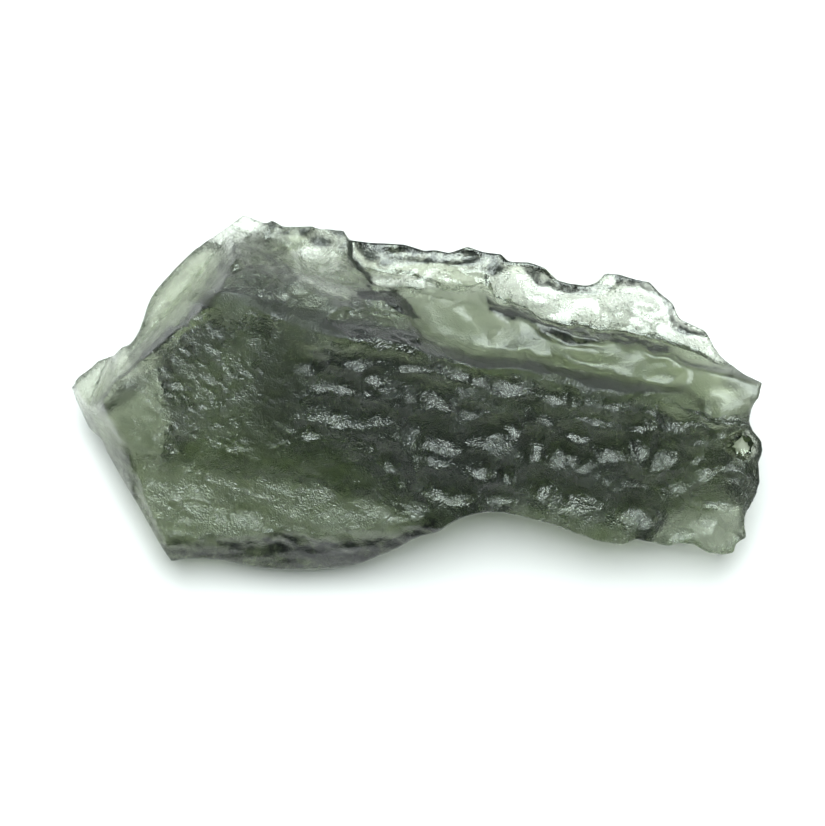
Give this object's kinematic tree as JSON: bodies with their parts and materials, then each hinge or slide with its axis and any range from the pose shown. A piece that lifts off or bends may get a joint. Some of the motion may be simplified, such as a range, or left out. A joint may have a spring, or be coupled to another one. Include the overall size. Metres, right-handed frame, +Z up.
{
  "type": "moldavite",
  "caption": "Natural green impact-glass stone with a furrowed crest, a thin ragged shelf on one side and a thin blade at one end, lying on its broad side.",
  "frame": {"origin": "under the middle of the stone's bounding box, on the surface that it lies on", "axes": "+X along the stone towards the ragged end with the open bubble, +Y towards the thin shelf, +Z up out of the surface"},
  "size_m": [0.028, 0.0144, 0.0078],
  "materials": {
    "moldavite_glass": "natural etched skin on clear bottle-green glass: glossy in the hollows, frosted on the pitted faces, deep green where thick and almost colourless at the thin edges"
  },
  "bodies": {
    "root": {"moldavite": "moldavite_glass"}
  },
  "joints": []
}
